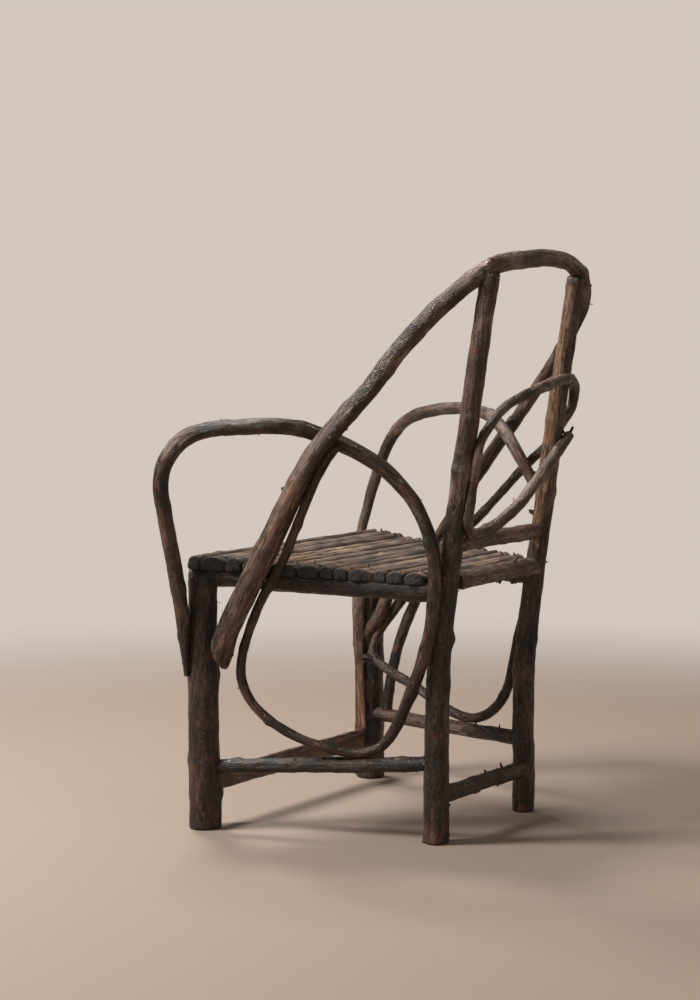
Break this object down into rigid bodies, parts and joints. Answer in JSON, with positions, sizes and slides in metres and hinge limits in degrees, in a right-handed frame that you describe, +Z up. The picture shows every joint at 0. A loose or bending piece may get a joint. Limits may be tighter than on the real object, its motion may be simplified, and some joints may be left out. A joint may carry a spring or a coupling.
{
  "type": "twig armchair",
  "caption": "Rustic armchair of bark-covered logs and bent saplings, with a slatted seat, looped arms and a hoop that runs over the leaning back posts.",
  "frame": {"origin": "middle of the chair's box, on the floor", "axes": "+Z up, the chair faces -Y and +X is the sitter's left"},
  "size_m": [0.6872, 0.5502, 0.9229],
  "materials": {
    "bark": "weathered bark with a dull sheen",
    "split_wood": "worn split wood with bark left at the edges",
    "iron": "dark forged iron"
  },
  "bodies": {
    "root": {"left_front_leg": "bark", "right_front_leg": "bark", "left_back_post": "bark", "right_back_post": "bark", "left_seat_rail": "bark", "right_seat_rail": "bark", "rear_seat_rail": "bark", "upper_back_rail": "bark", "left_stretcher": "bark", "right_stretcher": "bark", "front_stretcher": "bark", "rear_stretcher": "bark", "back_hoop": "bark", "left_arm_bow": "bark", "right_arm_bow": "bark", "lower_right_bow": "bark", "right_brace": "bark", "back_loop": "bark", "seat_slat_01": "split_wood", "seat_slat_02": "split_wood", "seat_slat_03": "split_wood", "seat_slat_04": "split_wood", "seat_slat_05": "split_wood", "seat_slat_06": "split_wood", "seat_slat_07": "split_wood", "seat_slat_08": "split_wood", "seat_slat_09": "split_wood", "seat_slat_10": "split_wood", "seat_slat_11": "split_wood", "seat_slat_12": "split_wood", "seat_slat_13": "split_wood", "seat_slat_14": "split_wood", "slat_nails": "iron", "frame_nails": "iron", "bow_nails": "iron"}
  },
  "joints": []
}
